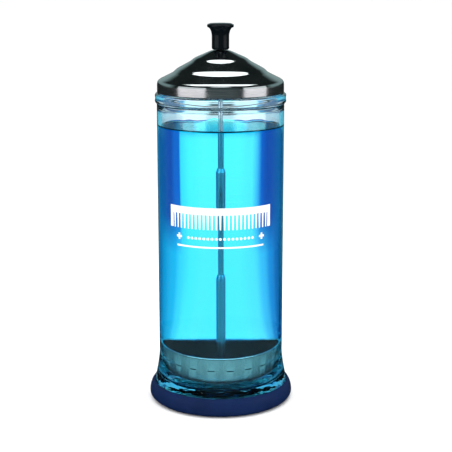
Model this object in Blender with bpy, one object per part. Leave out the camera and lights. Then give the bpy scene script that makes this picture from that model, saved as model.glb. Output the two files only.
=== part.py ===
"""A tall glass disinfectant jar for combs and scissors.

The glass stands in a rubber base. A stepped metal lid rests on the bead below the neck's rim. The knob, the
rod and the basket hang from the lid, and lift out with it.
Lengths below are in millimetres. The origin is the centre of the base's underside, with +Z up.
"""

import math

import bmesh
import bpy
from mathutils import Matrix

MM = 0.001
GAP = 0.3
LARGE_STEPS = 48
MIDDLE_STEPS = 32
SMALL_STEPS = 20

# Rubber base: a cup whose bulging side is two quarter ellipses, one above and one below its widest height.
BASE_RADIUS = 56.1
BASE_BULGE = 5.8
BASE_WIDEST = 5.0
BASE_UPPER = 10.0
BASE_LIP_ANGLE = 62.0
BASE_FLOOR = 2.5
BASE_RECESS_RADIUS = 30.0
BASE_RECESS = 0.8
BASE_RECESS_EDGE = 1.0
LIP_DEPTH = 0.6
LIP_THICK = 0.35

# Glass jar
JAR_RADIUS = 48.3
JAR_WALL = 2.8
JAR_BOTTOM = BASE_FLOOR + GAP
JAR_FLOOR = 15.8
JAR_FLOOR_CORNER = 9.0
JAR_PUNT_RADIUS = 30.0
JAR_PUNT = 1.6
JAR_PUNT_EDGE = 3.0
FOOT_TOP = 38.0
FOOT_LOW = 11.0
FOOT_LIP = 14.4
FOOT_FLARE = 3.6
FOOT_POWER = 1.5
FOOT_CORNER = 4.0
BEAD_LOW = 232.8
BEAD_TOP = 240.2
BEAD_PROUD = 1.4
BEAD_ROUND = 1.6
BEAD_WAIST = 0.25
BEAD_SEAM = 0.4
NECK_RADIUS = 46.6
NECK_BORE = 43.6
NECK_TOP = 247.6
NECK_BLEND_LOW = 227.0
NECK_BLEND_HIGH = 237.0

# Lid: a spun sheet with a straight skirt and three tiers, each a shallow slope above a steep step.
SHEET = 0.8
SKIRT_RADIUS = 48.0
SKIRT_LOW = BEAD_TOP + GAP
SKIRT_HIGH = 248.0
SHOULDER_BEND = 1.8
TIERS = ((35.7, 255.7), (33.3, 258.2), (22.6, 264.0), (19.6, 266.4))
APEX_RADIUS = 6.6
APEX = 272.1

# Rod, in sections of one diameter that meet inside thicker sleeves
ROD_RADIUS = 1.8
BORE_RADIUS = ROD_RADIUS + GAP
SLEEVE_RADIUS = 2.85
SLEEVE_TAPER = 3.0
SLEEVE_TIP = BORE_RADIUS + 0.25
COUPLING_LOW = 151.0
COUPLING_HIGH = 184.0
UPPER_ROD_LOW = 168.5
LOWER_ROD_HIGH = 166.5
LOWER_ROD_LOW = 86.0
STEM_HIGH = 101.0
STEM_BORE_LOW = 85.0
FLANGE_RADIUS = 6.0
FLANGE_THICK = 1.2
FLANGE_FILLET = 0.6
STUB_RADIUS = 1.6

# Knob on the rod's top end
KNOB_BOTTOM = APEX + GAP
KNOB_TOP = 292.2
KNOB_WAIST = 6.55
KNOB_FLANGE = 10.0
KNOB_STRAIGHT = 9.6
KNOB_FLANGE_LOW = 16.6
KNOB_FLANGE_HIGH = 19.0
KNOB_FLANGE_EDGE = 0.6
KNOB_FLARE_LIP = 0.4
KNOB_CROWN_RADIUS = 6.0
KNOB_CROWN = 0.15
KNOB_ROUND = 0.8
KNOB_FOOT = 1.2
KNOB_SOCKET_RADIUS = 3.3
KNOB_SOCKET = 11.4
KNOB_SOCKET_POINT = 1.0
INSERT_LOW = 0.6
INSERT_LENGTH = 10.2
ROD_TOP = KNOB_BOTTOM + KNOB_STRAIGHT

# Nuts and washers
WASHER_THICK = 0.8
LID_WASHER_RADIUS = 5.5
LID_NUT_FLATS = 7.0
LID_NUT_THICK = 2.5
BASKET_WASHER_RADIUS = 5.0
BASKET_WASHER_THICK = 0.7
BASKET_NUT_FLATS = 6.0
BASKET_NUT_THICK = 2.0
CUT_OVERRUN = 1.0

# Basket: a shallow cup with drain holes in its floor and short dents pressed in halfway up its wall
BASKET_RADIUS = 34.6
BASKET_LOW = 20.3
BASKET_HIGH = 41.6
BASKET_SHEET = 0.8
BASKET_CORNER = 2.6
HOLE_RINGS = ((12.5, 6), (20.0, 10), (27.5, 14))
HOLE_RADIUS = 2.2
HOLE_STEPS = 8
DENT_COUNT = 16
DENT_LENGTH = 5.0
DENT_HEIGHT = 0.9
DENT_DEPTH = 0.4
DENT_TOOL = 4.0
STUB_LOW = BASKET_LOW - 3.4


def material(name, colour, roughness, metallic=0.0, transmission=0.0):
    """A Principled material with the finish of one kind of part."""
    made = bpy.data.materials.new(name)
    made.use_nodes = True
    made.diffuse_color = (*colour, 1.0)
    shader = made.node_tree.nodes["Principled BSDF"]
    shader.inputs["Base Color"].default_value = (*colour, 1.0)
    shader.inputs["Roughness"].default_value = roughness
    shader.inputs["Metallic"].default_value = metallic
    shader.inputs["Transmission Weight"].default_value = transmission
    return made


def arc(centre, radii, start, end, count):
    """Points along an elliptical arc of the (radius, height) plane, both ends included, in degrees."""
    points = []
    for i in range(count + 1):
        angle = math.radians(start + (end - start) * i / count)
        points.append((centre[0] + radii[0] * math.cos(angle), centre[1] + radii[1] * math.sin(angle)))
    return points


def offset(outline, distance):
    """The outline moved to its right-hand side by a distance, with mitred corners."""
    moved = []
    for i, (r, z) in enumerate(outline):
        before = outline[max(i - 1, 0)]
        after = outline[min(i + 1, len(outline) - 1)]
        normals = []
        for a, b in ((before, (r, z)), ((r, z), after)):
            length = math.dist(a, b)
            if length > 0:
                normals.append(((b[1] - a[1]) / length, -(b[0] - a[0]) / length))
        nr = sum(n[0] for n in normals) / len(normals)
        nz = sum(n[1] for n in normals) / len(normals)
        scale = distance / (nr * nr + nz * nz)
        moved.append((r + nr * scale, z + nz * scale))
    return moved


def new_object(name, bm, finish, origin_z, parent):
    """An object from a bmesh whose points are in absolute millimetres, with its origin on the Z axis."""
    bmesh.ops.translate(bm, verts=bm.verts, vec=(0, 0, -origin_z))
    bmesh.ops.scale(bm, verts=bm.verts, vec=(MM, MM, MM))
    bmesh.ops.recalc_face_normals(bm, faces=bm.faces)
    mesh = bpy.data.meshes.new(name)
    bm.to_mesh(mesh)
    bm.free()
    mesh.shade_smooth()
    mesh.set_sharp_from_angle(angle=math.radians(35))
    mesh.materials.append(finish)
    made = bpy.data.objects.new(name, mesh)
    bpy.context.scene.collection.objects.link(made)
    made.location.z = origin_z * MM
    made.parent = parent
    return made


def turned(name, outline, steps, finish, origin_z, parent):
    """A solid of revolution. The outline is closed, or has both of its ends on the axis."""
    bm = bmesh.new()
    verts = [bm.verts.new((r, 0, z)) for r, z in outline]
    edges = [bm.edges.new(pair) for pair in zip(verts, verts[1:])]
    on_axis = outline[0][0] == 0 and outline[-1][0] == 0
    if not on_axis:
        edges.append(bm.edges.new((verts[-1], verts[0])))
    bmesh.ops.spin(
        bm,
        geom=verts + edges,
        cent=(0, 0, 0),
        axis=(0, 0, 1),
        angle=math.tau,
        steps=steps,
        use_merge=True,
    )
    bmesh.ops.remove_doubles(bm, verts=bm.verts, dist=0.001)
    return new_object(name, bm, finish, origin_z, parent)


def ring_outline(inner, outer, low, high):
    return [(inner, low), (outer, low), (outer, high), (inner, high)]


def rod_outline(low, high):
    return [(0, low), (ROD_RADIUS, low), (ROD_RADIUS, high), (0, high)]


def cut(target, name, bm, origin_z):
    """Cuts the bmesh's shapes out of the target."""
    cutter = new_object(name, bm, target.data.materials[0], origin_z, target.parent)
    cutter.hide_render = True
    cutter.display_type = "WIRE"
    modifier = target.modifiers.new(name, "BOOLEAN")
    modifier.operation = "DIFFERENCE"
    modifier.object = cutter


def add_cylinder(bm, radius, low, high, place, steps):
    matrix = place @ Matrix.Translation((0, 0, (low + high) / 2))
    bmesh.ops.create_cone(
        bm,
        cap_ends=True,
        segments=steps,
        radius1=radius,
        radius2=radius,
        depth=high - low,
        matrix=matrix,
    )


def hex_nut(name, flats, thick, bore, low, finish, parent):
    """A hexagon nut standing on the height low."""
    bm = bmesh.new()
    add_cylinder(bm, flats / math.sqrt(3), low, low + thick, Matrix.Identity(4), 6)
    nut = new_object(name, bm, finish, low, parent)
    hole = bmesh.new()
    add_cylinder(hole, bore, low - CUT_OVERRUN, low + thick + CUT_OVERRUN, Matrix.Identity(4), SMALL_STEPS)
    cut(nut, name + "_bore", hole, low)
    return nut


def foot_radius(z):
    """Outside radius of the glass, which flares towards the foot."""
    if z >= FOOT_TOP:
        return JAR_RADIUS
    return JAR_RADIUS + FOOT_FLARE * ((FOOT_TOP - z) / (FOOT_TOP - FOOT_LIP)) ** FOOT_POWER


def heights(low, high, count):
    return [low + (high - low) * i / count for i in range(count + 1)]


def neck_bore(z):
    """Inside radius of the glass, which narrows smoothly into the neck."""
    share = (z - NECK_BLEND_LOW) / (NECK_BLEND_HIGH - NECK_BLEND_LOW)
    share = min(max(share, 0), 1)
    body = JAR_RADIUS - JAR_WALL
    return body + (NECK_BORE - body) * (1 - math.cos(math.pi * share)) / 2


def glass_outline():
    foot = foot_radius(FOOT_LOW)
    bead = JAR_RADIUS + BEAD_PROUD
    rim = (NECK_RADIUS - NECK_BORE) / 2
    corner = (foot - FOOT_CORNER, JAR_BOTTOM + FOOT_CORNER)
    outline = [(0, JAR_BOTTOM + JAR_PUNT), (JAR_PUNT_RADIUS, JAR_BOTTOM + JAR_PUNT)]
    outline += [(JAR_PUNT_RADIUS + JAR_PUNT_EDGE, JAR_BOTTOM)]
    outline += arc(corner, (FOOT_CORNER, FOOT_CORNER), -90, 0, 4)
    outline += [(foot_radius(z), z) for z in heights(FOOT_LOW, FOOT_TOP, 8)]
    outline += [(JAR_RADIUS, BEAD_LOW - BEAD_SEAM)]
    outline += arc((bead - BEAD_ROUND, BEAD_LOW + BEAD_ROUND), (BEAD_ROUND, BEAD_ROUND), -60, 0, 3)
    outline += [(bead - BEAD_WAIST, (BEAD_LOW + BEAD_TOP) / 2)]
    outline += arc((bead - BEAD_ROUND, BEAD_TOP - BEAD_ROUND), (BEAD_ROUND, BEAD_ROUND), 0, 90, 4)
    outline += [(NECK_RADIUS, BEAD_TOP), (NECK_RADIUS, NECK_TOP - rim)]
    outline += arc((NECK_BORE + rim, NECK_TOP - rim), (rim, rim), 0, 180, 6)[1:]
    outline += [(neck_bore(z), z) for z in reversed(heights(NECK_BLEND_LOW, NECK_BLEND_HIGH, 6))]
    inner_corner = (JAR_RADIUS - JAR_WALL - JAR_FLOOR_CORNER, JAR_FLOOR + JAR_FLOOR_CORNER)
    outline += arc(inner_corner, (JAR_FLOOR_CORNER, JAR_FLOOR_CORNER), 0, -90, 6)
    outline += [(0, JAR_FLOOR)]
    return outline


def base_outline():
    centre = (BASE_RADIUS - BASE_BULGE, BASE_WIDEST)
    outline = [(0, BASE_RECESS), (BASE_RECESS_RADIUS, BASE_RECESS)]
    outline += [(BASE_RECESS_RADIUS + BASE_RECESS_EDGE, 0)]
    outline += arc(centre, (BASE_BULGE, BASE_WIDEST), -90, 0, 5)
    outline += arc(centre, (BASE_BULGE, BASE_UPPER), 0, BASE_LIP_ANGLE, 5)[1:]
    inner = [(foot_radius(z) + GAP, z) for z in reversed(heights(FOOT_LOW, FOOT_LIP - LIP_DEPTH, 2))]
    outline += [(inner[0][0] + LIP_THICK, FOOT_LIP)] + inner
    foot = foot_radius(FOOT_LOW)
    corner = (foot - FOOT_CORNER, JAR_BOTTOM + FOOT_CORNER)
    outline += arc(corner, (FOOT_CORNER + GAP, FOOT_CORNER + GAP), 0, -90, 4)
    outline += [(0, BASE_FLOOR)]
    return outline


def lid_outline():
    bend = (SHOULDER_BEND, SHOULDER_BEND)
    outer = [(SKIRT_RADIUS, SKIRT_LOW)]
    outer += arc((SKIRT_RADIUS - SHOULDER_BEND, SKIRT_HIGH), bend, 0, 60, 4)
    outer += TIERS
    outer += [(APEX_RADIUS, APEX), (BORE_RADIUS, APEX)]
    inner = offset(outer, -SHEET)
    inner[0] = (SKIRT_RADIUS - SHEET, SKIRT_LOW)
    inner[-1] = (BORE_RADIUS, APEX - SHEET)
    return outer + inner[::-1]


def knob_outline():
    """Down the outside of a spool with one flange, then up into the socket for the insert."""
    z = KNOB_BOTTOM
    neck_width = KNOB_FLANGE - KNOB_WAIST - KNOB_FLARE_LIP
    neck_height = KNOB_FLANGE_LOW - KNOB_STRAIGHT
    edge = (KNOB_FLANGE - KNOB_ROUND, z + KNOB_FLANGE_HIGH - KNOB_ROUND)
    outline = [(0, KNOB_TOP), (KNOB_CROWN_RADIUS, KNOB_TOP - KNOB_CROWN)]
    outline += arc(edge, (KNOB_ROUND, KNOB_ROUND), 70, 0, 3)
    outline += [(KNOB_FLANGE, z + KNOB_FLANGE_LOW + KNOB_FLANGE_EDGE)]
    outline += arc((KNOB_WAIST + neck_width, z + KNOB_STRAIGHT), (neck_width, neck_height), 90, 180, 6)
    outline += arc((KNOB_WAIST - KNOB_FOOT, z + KNOB_FOOT), (KNOB_FOOT, KNOB_FOOT), 0, -90, 2)
    outline += [(KNOB_SOCKET_RADIUS, z), (KNOB_SOCKET_RADIUS, z + KNOB_SOCKET)]
    outline += [(0, z + KNOB_SOCKET + KNOB_SOCKET_POINT)]
    return outline


def coupling_outline():
    return [
        (BORE_RADIUS, COUPLING_LOW),
        (SLEEVE_TIP, COUPLING_LOW),
        (SLEEVE_RADIUS, COUPLING_LOW + SLEEVE_TAPER),
        (SLEEVE_RADIUS, COUPLING_HIGH - SLEEVE_TAPER),
        (SLEEVE_TIP, COUPLING_HIGH),
        (BORE_RADIUS, COUPLING_HIGH),
    ]


def stem_outline():
    """The sleeve over the rod's lower end, with the flange and the stub that hold the basket's floor."""
    flange_low = BASKET_LOW + BASKET_SHEET + GAP
    return [
        (0, STUB_LOW),
        (STUB_RADIUS, STUB_LOW),
        (STUB_RADIUS, flange_low),
        (FLANGE_RADIUS, flange_low),
        (FLANGE_RADIUS, flange_low + FLANGE_THICK),
        (SLEEVE_RADIUS, flange_low + FLANGE_THICK + FLANGE_FILLET),
        (SLEEVE_RADIUS, STEM_HIGH - SLEEVE_TAPER),
        (SLEEVE_TIP, STEM_HIGH),
        (BORE_RADIUS, STEM_HIGH),
        (BORE_RADIUS, STEM_BORE_LOW),
        (0, STEM_BORE_LOW),
    ]


def basket_outline():
    """The cup's section, from its centre hole out and up the outside, over the rim and back down."""
    hole = STUB_RADIUS + GAP
    corner = (BASKET_RADIUS - BASKET_CORNER, BASKET_LOW + BASKET_CORNER)
    inner = BASKET_CORNER - BASKET_SHEET
    rim = BASKET_SHEET / 2
    outline = [(hole, BASKET_LOW)]
    outline += arc(corner, (BASKET_CORNER, BASKET_CORNER), -90, 0, 4)
    outline += arc((BASKET_RADIUS - rim, BASKET_HIGH - rim), (rim, rim), 0, 180, 4)
    outline += arc(corner, (inner, inner), 0, -90, 3)
    outline += [(hole, BASKET_LOW + BASKET_SHEET)]
    return outline


def basket_cutter():
    """Pins for the floor's holes, and bars that reach part way into the wall for its dents."""
    bm = bmesh.new()
    for radius, count in HOLE_RINGS:
        for i in range(count):
            turn = Matrix.Rotation(math.tau * (i + 0.5) / count, 4, "Z")
            place = turn @ Matrix.Translation((radius, 0, 0))
            top = BASKET_LOW + BASKET_SHEET + CUT_OVERRUN
            add_cylinder(bm, HOLE_RADIUS, BASKET_LOW - CUT_OVERRUN, top, place, HOLE_STEPS)
    middle = (BASKET_LOW + BASKET_HIGH) / 2
    for i in range(DENT_COUNT):
        turn = Matrix.Rotation(math.tau * (i + 0.5) / DENT_COUNT, 4, "Z")
        place = turn @ Matrix.Translation((BASKET_RADIUS - DENT_DEPTH + DENT_TOOL / 2, 0, middle))
        size = Matrix.Diagonal((DENT_TOOL, DENT_LENGTH, DENT_HEIGHT, 1))
        bmesh.ops.create_cube(bm, size=1, matrix=place @ size)
    return bm


def empty(name, parent):
    made = bpy.data.objects.new(name, None)
    made.empty_display_size = 0.02
    bpy.context.scene.collection.objects.link(made)
    made.parent = parent
    return made


def build():
    for old in list(bpy.data.objects):
        bpy.data.objects.remove(old)

    glass = material("clear_glass", (0.80, 0.92, 0.95), 0.03, transmission=1.0)
    rubber = material("navy_rubber", (0.005, 0.016, 0.060), 0.55)
    polished = material("dark_polished_steel", (0.42, 0.46, 0.47), 0.12, metallic=1.0)
    plastic = material("black_plastic", (0.010, 0.012, 0.014), 0.18)
    steel = material("stainless_steel", (0.60, 0.63, 0.62), 0.28, metallic=1.0)
    brass = material("brass", (0.78, 0.58, 0.25), 0.30, metallic=1.0)

    # The lid lifts along Z, and the rod with all that it carries turns about Z inside the lid's hole.
    lift_axis = empty("lid_lift_axis", None)
    turn_axis = empty("basket_turn_axis", lift_axis)

    turned("rubber_base", base_outline(), LARGE_STEPS, rubber, 0, None)
    turned("glass_jar", glass_outline(), LARGE_STEPS, glass, JAR_BOTTOM, None)
    turned("lid_shell", lid_outline(), LARGE_STEPS, polished, SKIRT_LOW, lift_axis)

    turned("knob", knob_outline(), MIDDLE_STEPS, plastic, KNOB_BOTTOM, turn_axis)
    insert_low = KNOB_BOTTOM + INSERT_LOW
    insert = ring_outline(BORE_RADIUS, KNOB_SOCKET_RADIUS - GAP, insert_low, insert_low + INSERT_LENGTH)
    turned("knob_insert", insert, SMALL_STEPS, brass, insert_low, turn_axis)

    washer_low = APEX - SHEET - GAP - WASHER_THICK
    washer = ring_outline(BORE_RADIUS, LID_WASHER_RADIUS, washer_low, washer_low + WASHER_THICK)
    turned("lid_washer", washer, SMALL_STEPS, steel, washer_low, turn_axis)
    nut_low = washer_low - GAP - LID_NUT_THICK
    hex_nut("lid_nut", LID_NUT_FLATS, LID_NUT_THICK, BORE_RADIUS, nut_low, steel, turn_axis)

    upper = rod_outline(UPPER_ROD_LOW, ROD_TOP)
    turned("rod_upper", upper, SMALL_STEPS, steel, UPPER_ROD_LOW, turn_axis)
    turned("rod_coupling", coupling_outline(), SMALL_STEPS, steel, COUPLING_LOW, turn_axis)
    lower = rod_outline(LOWER_ROD_LOW, LOWER_ROD_HIGH)
    turned("rod_lower", lower, SMALL_STEPS, steel, LOWER_ROD_LOW, turn_axis)
    turned("basket_stem", stem_outline(), SMALL_STEPS, steel, STUB_LOW, turn_axis)

    basket = turned("basket_cup", basket_outline(), LARGE_STEPS, steel, BASKET_LOW, turn_axis)
    cut(basket, "basket_cutter", basket_cutter(), BASKET_LOW)
    washer_low = BASKET_LOW - GAP - BASKET_WASHER_THICK
    hole = STUB_RADIUS + GAP
    washer = ring_outline(hole, BASKET_WASHER_RADIUS, washer_low, washer_low + BASKET_WASHER_THICK)
    turned("basket_washer", washer, SMALL_STEPS, steel, washer_low, turn_axis)
    nut_low = washer_low - GAP - BASKET_NUT_THICK
    hex_nut("basket_nut", BASKET_NUT_FLATS, BASKET_NUT_THICK, hole, nut_low, steel, turn_axis)


build()
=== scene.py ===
"""Looks of the disinfectant jar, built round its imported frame. Lengths are in metres, angles in degrees."""

import math

import bmesh
import bpy
from mathutils import Matrix, Vector


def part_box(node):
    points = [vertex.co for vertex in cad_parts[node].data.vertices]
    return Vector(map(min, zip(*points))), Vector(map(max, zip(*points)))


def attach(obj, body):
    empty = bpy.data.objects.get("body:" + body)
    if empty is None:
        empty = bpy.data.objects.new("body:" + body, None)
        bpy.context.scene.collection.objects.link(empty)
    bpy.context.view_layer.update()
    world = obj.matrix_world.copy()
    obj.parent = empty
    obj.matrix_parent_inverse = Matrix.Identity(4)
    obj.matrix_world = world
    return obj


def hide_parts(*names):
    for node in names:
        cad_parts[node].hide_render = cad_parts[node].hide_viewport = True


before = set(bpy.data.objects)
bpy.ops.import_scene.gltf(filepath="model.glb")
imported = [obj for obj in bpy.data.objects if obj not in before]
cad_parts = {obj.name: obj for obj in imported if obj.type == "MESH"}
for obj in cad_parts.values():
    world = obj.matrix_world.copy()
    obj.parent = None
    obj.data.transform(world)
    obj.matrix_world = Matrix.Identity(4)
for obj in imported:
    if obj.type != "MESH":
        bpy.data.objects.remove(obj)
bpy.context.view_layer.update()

MM = 0.001
AXIS = Vector((0, 0, 0))

# Facets round each kind of turned piece
LARGE = 192
MIDDLE = 96
SMALL = 48

# Heights and radii that the frame gives
BASE_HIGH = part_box("rubber_base")[1]
JAR_LOW, JAR_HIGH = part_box("glass_jar")
LID_LOW, LID_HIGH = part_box("lid_shell")
KNOB_LOW, KNOB_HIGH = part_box("knob")
BASKET_LOW, BASKET_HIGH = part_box("basket_cup")
STEM_LOW, STEM_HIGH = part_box("basket_stem")
COUPLING_LOW, COUPLING_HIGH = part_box("rod_coupling")
UPPER_LOW, UPPER_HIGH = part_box("rod_upper")
LOWER_LOW, LOWER_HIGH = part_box("rod_lower")
LID_NUT_LOW, LID_NUT_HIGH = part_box("lid_nut")
LID_WASHER_LOW, LID_WASHER_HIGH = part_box("lid_washer")
BASKET_NUT_LOW, BASKET_NUT_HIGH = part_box("basket_nut")
BASKET_WASHER_LOW, BASKET_WASHER_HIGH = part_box("basket_washer")
INSERT_LOW, INSERT_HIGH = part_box("knob_insert")

# Glass jar
JAR_RADIUS = 48.3 * MM
WALL = 2.8 * MM
JAR_INSIDE = JAR_RADIUS - WALL
JAR_FLOOR = 15.8 * MM
FLOOR_CORNER = 9.0 * MM
PUNT_RADIUS = 30.0 * MM
PUNT = 1.6 * MM
FOOT_TOP = 38.0 * MM
FOOT_LOW = 11.0 * MM
FOOT_LIP = 14.4 * MM
FOOT_FLARE = 3.6 * MM
FOOT_POWER = 1.5
FOOT_CORNER = 4.0 * MM
BEAD_LOW = 232.8 * MM
BEAD_TOP = 240.2 * MM
BEAD_PROUD = 1.4 * MM
BEAD_ROUND = 1.6 * MM
BEAD_WAIST = 0.25 * MM
NECK_RADIUS = 46.6 * MM
NECK_BORE = 43.6 * MM
BLEND_LOW = 227.0 * MM
BLEND_HIGH = 237.0 * MM
STREAK_DEPTH = 0.025 * MM

# Liquid
LIQUID_TOP = 215.0 * MM
INTO_GLASS = 0.15 * MM
MENISCUS = 1.7 * MM
MENISCUS_REACH = 1.4 * MM
MENISCUS_START = 0.86 * JAR_INSIDE

# Rubber base
BASE_RADIUS = BASE_HIGH.x
BULGE = 5.8 * MM
WIDEST = 5.0 * MM
UPPER_BULGE = 10.0 * MM
LIP_ANGLE = 62.0
BASE_FLOOR = 2.5 * MM
RECESS_RADIUS = 30.0 * MM
RECESS = 0.8 * MM
GAP = 0.3 * MM

# Lid: the skirt, then the radius and height of each corner of its shoulder and tiers
SHEET = 0.7 * MM
SKIRT_RADIUS = LID_HIGH.x
SKIRT_FOOT = LID_LOW.z + 0.4 * MM
SKIRT_TOP = 247.4 * MM
SHOULDER = ((SKIRT_RADIUS, 247.0 * MM), (47.5 * MM, 249.3 * MM), (46.1 * MM, 250.5 * MM))
FIRST_TIER = ((35.7 * MM, 255.7 * MM), (33.3 * MM, 258.2 * MM))
SECOND_TIER = ((22.6 * MM, 264.0 * MM), (19.6 * MM, 266.4 * MM))
THIRD_TIER = ((6.8 * MM, 272.0 * MM),)
TIER_ROUND = 1.5 * MM
APEX = LID_HIGH.z

# Knob, with its heights from its foot
KNOB_WAIST = 6.55 * MM
KNOB_STRAIGHT = 9.6 * MM
KNOB_EDGE = 1.4 * MM
FLANGE_LOW = 16.6 * MM
FLANGE_TOP = 19.0 * MM
SOCKET_RADIUS = 3.3 * MM
SOCKET_TOP = 11.4 * MM

# Rod and its fittings
ROD_RADIUS = UPPER_HIGH.x
SLEEVE_RADIUS = COUPLING_HIGH.x
BORE_RADIUS = 2.1 * MM
TAPER = 3.0 * MM
THREAD_PITCH = 0.7 * MM
THREAD_DEPTH = 0.22 * MM
THREAD_RELIEF = 0.6 * MM
KNOB_THREAD = 17 * MM
COUPLING_THREAD = 12 * MM
STUB_RADIUS = 1.6 * MM
STEM_FLANGE = 6.0 * MM
STEM_FLANGE_THICK = 1.2 * MM
STEM_FILLET = 1.4 * MM

# Basket
BASKET_RADIUS = BASKET_HIGH.x
BASKET_SHEET = 0.8 * MM
BASKET_CORNER = 2.6 * MM
BASKET_BEAD = 0.65 * MM
BEAD_OVERHANG = 0.25 * MM
BASKET_HOLE = 1.9 * MM
DRAIN_RADIUS = 2.2 * MM
DRAIN_TOOL = 4 * MM
DRAIN_RINGS = ((12.5 * MM, 6), (20.0 * MM, 10), (27.5 * MM, 14))
DENT_COUNT = 16
DENT_DEPTH = 0.4 * MM
DENT_TOOL = 4 * MM
DENT_LENGTH = 5 * MM
DENT_HEIGHT = 0.9 * MM

# Printed motif: a plain comb pictogram, two plus signs, a row of dots and a rule, wrapped on the glass
PRINT_IN = JAR_RADIUS + 0.02 * MM
PRINT_OUT = JAR_RADIUS + 0.10 * MM
PRINT_STEP = 1.5 * MM
COMB_HALF = 42 * MM
COMB_TOP = 160.4 * MM
COMB_ROOT = 155.0 * MM
COMB_BOTTOM = 144.0 * MM
COMB_END = 3.0 * MM
COMB_END_ROOM = 3.4 * MM
TOOTH = 1.7 * MM
TOOTH_TIP = 0.6 * TOOTH
TOOTH_PITCH = 3.1 * MM
PLUS_ASIDE = 33 * MM
PLUS_HEIGHT = 137.6 * MM
PLUS_SIZE = 4.8 * MM
DOT_COUNT = 17
DOT_PITCH = 3.1 * MM
DOT_HEIGHT = 137.2 * MM
DOT_RADIUS = 1.05 * MM
RULE_HALF = 35 * MM
RULE_LOW = 130.0 * MM
RULE_HIGH = 131.3 * MM

# Ripples in the glass: broad ones all over, and finer ones on the foot, which die out further up
RIPPLE_SCALE = 55
FOOT_RIPPLE_SCALE = 130
FOOT_RIPPLE = 2.5
FOOT_RIPPLE_LOW = 10 * MM
FOOT_RIPPLE_HIGH = 30 * MM


def node(tree, kind, **values):
    made = tree.nodes.new(kind)
    for name, value in values.items():
        setattr(made, name, value)
    return made


def material(name, colour, roughness, metallic=0.0):
    """A Principled material and its node tree, with the plain values set on the shader's own sockets."""
    made = bpy.data.materials.new(name)
    made.use_nodes = True
    shader = made.node_tree.nodes["Principled BSDF"]
    shader.inputs["Base Color"].default_value = (*colour, 1)
    shader.inputs["Roughness"].default_value = roughness
    shader.inputs["Metallic"].default_value = metallic
    return made, made.node_tree, shader


def object_position(tree, scale=(1, 1, 1)):
    """The point's place in the object, stretched along its axes."""
    place = node(tree, "ShaderNodeTexCoord")
    mapping = node(tree, "ShaderNodeMapping")
    mapping.inputs["Scale"].default_value = scale
    tree.links.new(place.outputs["Object"], mapping.inputs["Vector"])
    return mapping.outputs["Vector"]


def noise(tree, scale, detail=3.0, stretch=(1, 1, 1)):
    made = node(tree, "ShaderNodeTexNoise")
    made.inputs["Scale"].default_value = scale
    made.inputs["Detail"].default_value = detail
    tree.links.new(object_position(tree, stretch), made.inputs["Vector"])
    return made.outputs["Fac"]


def remap(tree, value, low, high, from_low=0.3, from_high=0.7):
    made = node(tree, "ShaderNodeMapRange")
    made.inputs["From Min"].default_value = from_low
    made.inputs["From Max"].default_value = from_high
    made.inputs["To Min"].default_value = low
    made.inputs["To Max"].default_value = high
    tree.links.new(value, made.inputs["Value"])
    return made.outputs["Result"]


def bump(tree, shader, height, strength, distance):
    made = node(tree, "ShaderNodeBump")
    made.inputs["Strength"].default_value = strength
    made.inputs["Distance"].default_value = distance
    tree.links.new(height, made.inputs["Height"])
    tree.links.new(made.outputs["Normal"], shader.inputs["Normal"])


def blend_colours(tree, factor, first, second):
    made = node(tree, "ShaderNodeMix", data_type="RGBA")
    made.inputs["A"].default_value = (*first, 1)
    made.inputs["B"].default_value = (*second, 1)
    tree.links.new(factor, made.inputs["Factor"])
    return made.outputs["Result"]


def math_node(tree, operation, *values):
    made = node(tree, "ShaderNodeMath", operation=operation)
    for i, value in enumerate(values):
        if isinstance(value, (int, float)):
            made.inputs[i].default_value = value
        else:
            tree.links.new(value, made.inputs[i])
    return made.outputs["Value"]


def mix_links(tree, factor, first, second, blend_type="MIX"):
    """Mixes two linked colours; the factor is a number or a link."""
    made = node(tree, "ShaderNodeMix", data_type="RGBA", blend_type=blend_type)
    if isinstance(factor, float):
        made.inputs["Factor"].default_value = factor
    else:
        tree.links.new(factor, made.inputs["Factor"])
    tree.links.new(first, made.inputs["A"])
    tree.links.new(second, made.inputs["B"])
    return made.outputs["Result"]


def coordinates(tree, kind="Object"):
    """X, Y and Z of the point in its object, or of the direction in the world if kind is Generated."""
    place = node(tree, "ShaderNodeTexCoord")
    split = node(tree, "ShaderNodeSeparateXYZ")
    tree.links.new(place.outputs[kind], split.inputs["Vector"])
    return split.outputs["X"], split.outputs["Y"], split.outputs["Z"]


def once_reflected(tree):
    """1 for light paths that a shiny surface has mirrored, else 0."""
    path = node(tree, "ShaderNodeLightPath")
    return math_node(tree, "GREATER_THAN", path.outputs["Glossy Depth"], 0.5)


def ramp(tree, value, low, high, stops):
    """A colour along stops of (value, colour) between low and high."""
    made = node(tree, "ShaderNodeValToRGB")
    made.color_ramp.interpolation = "EASE"
    elements = made.color_ramp.elements
    while len(elements) < len(stops):
        elements.new(0.5)
    for element, (place, colour) in zip(elements, stops):
        element.position = (place - low) / (high - low)
        element.color = (*colour, 1)
    tree.links.new(remap(tree, value, 0.0, 1.0, low, high), made.inputs["Fac"])
    return made.outputs["Color"]


def absorb(tree, colour, density):
    """Tints what is seen through the solid by the depth of it."""
    made = node(tree, "ShaderNodeVolumeAbsorption")
    made.inputs["Color"].default_value = (*colour, 1)
    made.inputs["Density"].default_value = density
    tree.links.new(made.outputs["Volume"], tree.nodes["Material Output"].inputs["Volume"])


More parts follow.
